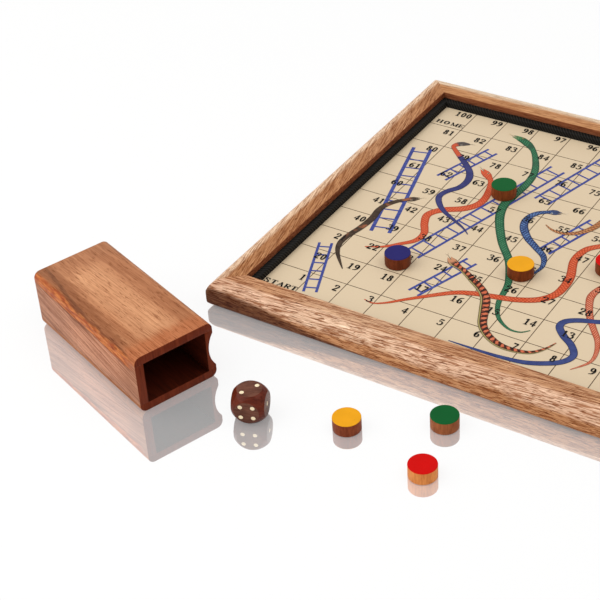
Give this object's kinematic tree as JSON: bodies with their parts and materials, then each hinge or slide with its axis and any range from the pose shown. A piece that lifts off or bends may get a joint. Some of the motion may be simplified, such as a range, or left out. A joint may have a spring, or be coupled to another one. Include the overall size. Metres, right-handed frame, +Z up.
{
  "type": "snakes and ladders board",
  "caption": "Square wooden tray board with a printed snakes and ladders grid, round painted counters, a wooden die and a rectangular wooden dice cup.",
  "frame": {"origin": "centre of the board's underside, on the table", "axes": "+Z up from the table, -Y towards the front rail beside the first row of squares, +X along the first row from the first square to the tenth"},
  "size_m": [0.3818, 0.4046, 0.04],
  "materials": {
    "frame_wood": "open-grained pinkish-tan hardwood, oiled to a satin",
    "key_wood": "thin plywood key, glued in",
    "base_ply": "plain plywood, sanded",
    "play_fibreboard": "fibreboard under the sheet",
    "pin_steel": "bright steel panel pin",
    "laminated_sheet": "printed sheet under a smooth laminate, semi-gloss",
    "black_lining": "black ribbed strip, matte",
    "ink_black": "black print",
    "ink_ladder_blue": "blue print",
    "ink_green": "green print with fine scales",
    "ink_red": "red-orange print with fine scales",
    "ink_blue": "dark blue print with fine scales",
    "ink_brown": "brown and orange banded print",
    "counter_green": "wooden disc with a glossy green painted top",
    "counter_blue": "wooden disc with a glossy blue painted top",
    "counter_yellow": "wooden disc with a glossy yellow painted top",
    "counter_red": "wooden disc with a glossy red painted top",
    "die_wood": "dark reddish-brown hardwood, polished",
    "pip_cream": "cream inlay, smooth",
    "cup_wood": "reddish-brown hardwood, oiled to a satin"
  },
  "bodies": {
    "board": {"rail_front": "frame_wood", "rail_right": "frame_wood", "rail_back": "frame_wood", "rail_left": "frame_wood", "corner_keys": "key_wood", "base_board": "base_ply", "base_pins": "pin_steel", "play_board": "play_fibreboard", "printed_sheet": "laminated_sheet", "lining_front": "black_lining", "lining_right": "black_lining", "lining_back": "black_lining", "lining_left": "black_lining", "ink_grid": "ink_black", "ink_ladders": "ink_ladder_blue", "ink_snake_green": "ink_green", "ink_snakes_red": "ink_red", "ink_snakes_blue": "ink_blue", "ink_snakes_brown": "ink_brown"},
    "counter_green": {"counter_green": "counter_green"},
    "counter_blue": {"counter_blue": "counter_blue"},
    "counter_yellow": {"counter_yellow": "counter_yellow"},
    "counter_red": {"counter_red": "counter_red"},
    "spare_yellow": {"spare_yellow": "counter_yellow"},
    "spare_green": {"spare_green": "counter_green"},
    "spare_red": {"spare_red": "counter_red"},
    "die": {"die_body": "die_wood", "die_pips": "pip_cream"},
    "dice_cup": {"cup_top": "cup_wood", "cup_bottom": "cup_wood", "cup_side_near": "cup_wood", "cup_side_far": "cup_wood", "cup_end": "cup_wood"}
  },
  "joints": [
    {"name": "counter_green_lift", "type": "slide", "parent": "board", "child": "counter_green", "axis": [0, 0, 1], "range_m": [0, 0.06]},
    {"name": "counter_blue_lift", "type": "slide", "parent": "board", "child": "counter_blue", "axis": [0, 0, 1], "range_m": [0, 0.06]},
    {"name": "counter_yellow_lift", "type": "slide", "parent": "board", "child": "counter_yellow", "axis": [0, 0, 1], "range_m": [0, 0.06]},
    {"name": "counter_red_lift", "type": "slide", "parent": "board", "child": "counter_red", "axis": [0, 0, 1], "range_m": [0, 0.06]},
    {"name": "spare_yellow_lift", "type": "slide", "parent": "board", "child": "spare_yellow", "axis": [0, 0, 1], "range_m": [0, 0.06]},
    {"name": "spare_green_lift", "type": "slide", "parent": "board", "child": "spare_green", "axis": [0, 0, 1], "range_m": [0, 0.06]},
    {"name": "spare_red_lift", "type": "slide", "parent": "board", "child": "spare_red", "axis": [0, 0, 1], "range_m": [0, 0.06]},
    {"name": "die_lift", "type": "slide", "parent": "board", "child": "die", "axis": [0, 0, 1], "range_m": [0, 0.06]},
    {"name": "dice_cup_lift", "type": "slide", "parent": "board", "child": "dice_cup", "axis": [0, 0, 1], "range_m": [0, 0.06]}
  ]
}
